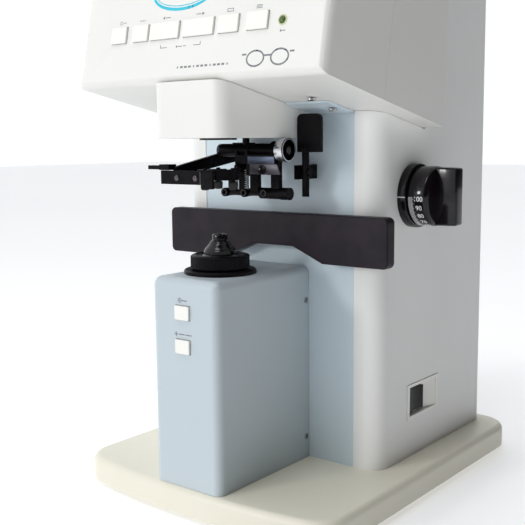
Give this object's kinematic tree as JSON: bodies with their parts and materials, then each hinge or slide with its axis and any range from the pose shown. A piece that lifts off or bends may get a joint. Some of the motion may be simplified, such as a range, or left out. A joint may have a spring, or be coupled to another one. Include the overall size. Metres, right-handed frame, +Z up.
{
  "type": "auto lensmeter",
  "caption": "Tabletop auto lensmeter with tilted head, lens table on a dial, lens holder, swinging marker and knurled nosepiece.",
  "frame": {"origin": "on the resting plane, directly under the optical axis of the nosepiece", "axes": "+X to the operator's right, +Y to the back of the instrument, +Z up"},
  "size_m": [0.2418, 0.2845, 0.4341],
  "materials": {
    "cream_plastic": "smooth moulded",
    "white_plastic": "smooth moulded",
    "blue_grey_paint": "satin",
    "black_anodised": "satin black anodised",
    "black_plastic": "semi gloss",
    "black_steel": "satin black",
    "steel": "ground",
    "aluminium": "machined",
    "brass": "machined",
    "rubber": "matt",
    "glass": "polished",
    "lcd": "display",
    "green_board": "circuit board",
    "white_keys": "smooth",
    "paper": "plain paper",
    "green_lamp": "translucent"
  },
  "bodies": {
    "frame": {"base_plate": "cream_plastic", "casing_screws": "steel", "chassis_plate": "steel", "circuit_boards": "green_board", "column_shell": "white_plastic", "dial_ring": "black_plastic", "display_window": "glass", "front_panel": "blue_grey_paint", "guide_bushes": "brass", "head_front_cover": "white_plastic", "head_rear_cover": "white_plastic", "lcd_module": "lcd", "lever_bracket": "black_steel", "light_unit": "aluminium", "neck_housing": "white_plastic", "neck_plate": "black_steel", "nose_flange": "black_anodised", "nose_glass": "glass", "nosepiece": "black_plastic", "objective_window": "glass", "panel_flange": "blue_grey_paint", "paper_roll": "paper", "power_inlet": "black_plastic", "power_lamp": "green_lamp", "power_supply": "aluminium", "printer_unit": "black_plastic", "rear_panel": "white_plastic", "rubber_feet": "rubber", "sensor_tube": "aluminium", "switch_body": "black_plastic", "switch_recess": "white_plastic", "tower_cover": "blue_grey_paint"},
    "table": {"lens_table": "black_plastic", "table_rails": "steel", "rack": "steel"},
    "dial": {"table_knob": "black_plastic", "pinion_shaft": "steel"},
    "holder": {"holder_arm": "black_steel", "pin_ring": "black_anodised", "lens_pins": "black_plastic", "holder_rod": "steel", "holder_front_plate": "black_steel", "finger_tab": "black_plastic"},
    "carriage": {"marker_carriage": "black_steel"},
    "marker_head": {"marker_frame": "black_steel", "marker_pens": "black_plastic"},
    "lever": {"lever_rod": "black_steel", "thumb_plate": "black_plastic"},
    "knurled_ring": {"nose_ring": "black_anodised"},
    "lid": {"printer_lid": "white_plastic"},
    "rocker": {"power_rocker": "black_plastic"},
    "button_next_cap": {"button_next": "white_keys"},
    "button_read_cap": {"button_read": "white_keys"},
    "key_clear_cap": {"key_clear": "white_keys"},
    "key_left_cap": {"key_left": "white_keys"},
    "key_menu_cap": {"key_menu": "white_keys"},
    "key_mode_cap": {"key_mode": "white_keys"},
    "key_print_cap": {"key_print": "white_keys"},
    "key_right_cap": {"key_right": "white_keys"}
  },
  "joints": [
    {"name": "table_slide", "type": "slide", "parent": "frame", "child": "table", "axis": [0, -1, 0], "range_m": [0, 0.022]},
    {"name": "dial_turn", "type": "hinge", "parent": "frame", "child": "dial", "pos_m": [0.09, 0.1095, 0.218], "axis": [1, 0, 0], "range_deg": [-80, 0]},
    {"name": "holder_drop", "type": "slide", "parent": "frame", "child": "holder", "axis": [0, 0, -1], "range_m": [0, 0.028]},
    {"name": "marker_drop", "type": "slide", "parent": "frame", "child": "carriage", "axis": [0, 0, -1], "range_m": [0, 0.0362], "stiffness_N_per_m": 60, "springref_m": -0.02},
    {"name": "lever_swing", "type": "hinge", "parent": "frame", "child": "lever", "pos_m": [0.0405, 0.046, 0.236], "axis": [1, 0, 0], "range_deg": [0, 50.3]},
    {"name": "marker_swing", "type": "hinge", "parent": "carriage", "child": "marker_head", "pos_m": [0, 0.03, 0.2516], "axis": [1, 0, 0], "range_deg": [-91, 0]},
    {"name": "nose_ring_turn", "type": "hinge", "parent": "frame", "child": "knurled_ring", "pos_m": [0, 0, 0.176], "axis": [0, 0, 1], "range_deg": [0, 90]},
    {"name": "lid_open", "type": "hinge", "parent": "frame", "child": "lid", "pos_m": [-0.05, 0.1189, 0.42376], "axis": [1, 0, 0], "range_deg": [-80, 0]},
    {"name": "rocker_tip", "type": "hinge", "parent": "frame", "child": "rocker", "pos_m": [0.0854, 0.1195, 0.064], "axis": [0, 0, 1], "range_deg": [-6, 6]},
    {"name": "button_next_press", "type": "slide", "parent": "frame", "child": "button_next_cap", "axis": [0, 1, 0], "range_m": [0, 0.001], "stiffness_N_per_m": 600, "springref_m": -0.0005},
    {"name": "button_read_press", "type": "slide", "parent": "frame", "child": "button_read_cap", "axis": [0, 1, 0], "range_m": [0, 0.001], "stiffness_N_per_m": 600, "springref_m": -0.0005},
    {"name": "key_clear_press", "type": "slide", "parent": "frame", "child": "key_clear_cap", "axis": [0, 0.9799, -0.1994], "range_m": [0, 0.001], "stiffness_N_per_m": 600, "springref_m": -0.0005},
    {"name": "key_left_press", "type": "slide", "parent": "frame", "child": "key_left_cap", "axis": [0, 0.9799, -0.1994], "range_m": [0, 0.001], "stiffness_N_per_m": 600, "springref_m": -0.0005},
    {"name": "key_menu_press", "type": "slide", "parent": "frame", "child": "key_menu_cap", "axis": [0, 0.9799, -0.1994], "range_m": [0, 0.001], "stiffness_N_per_m": 600, "springref_m": -0.0005},
    {"name": "key_mode_press", "type": "slide", "parent": "frame", "child": "key_mode_cap", "axis": [0, 0.9799, -0.1994], "range_m": [0, 0.001], "stiffness_N_per_m": 600, "springref_m": -0.0005},
    {"name": "key_print_press", "type": "slide", "parent": "frame", "child": "key_print_cap", "axis": [0, 0.9799, -0.1994], "range_m": [0, 0.001], "stiffness_N_per_m": 600, "springref_m": -0.0005},
    {"name": "key_right_press", "type": "slide", "parent": "frame", "child": "key_right_cap", "axis": [0, 0.9799, -0.1994], "range_m": [0, 0.001], "stiffness_N_per_m": 600, "springref_m": -0.0005}
  ],
  "couplings": [
    {"joint": "dial_turn", "follows": "table_slide", "rad_per_m": -62.5},
    {"joint": "lever_swing", "follows": "marker_drop", "rad_per_m": 24.242},
    {"joint": "marker_swing", "follows": "marker_drop", "rad_per_m": -43.6}
  ]
}
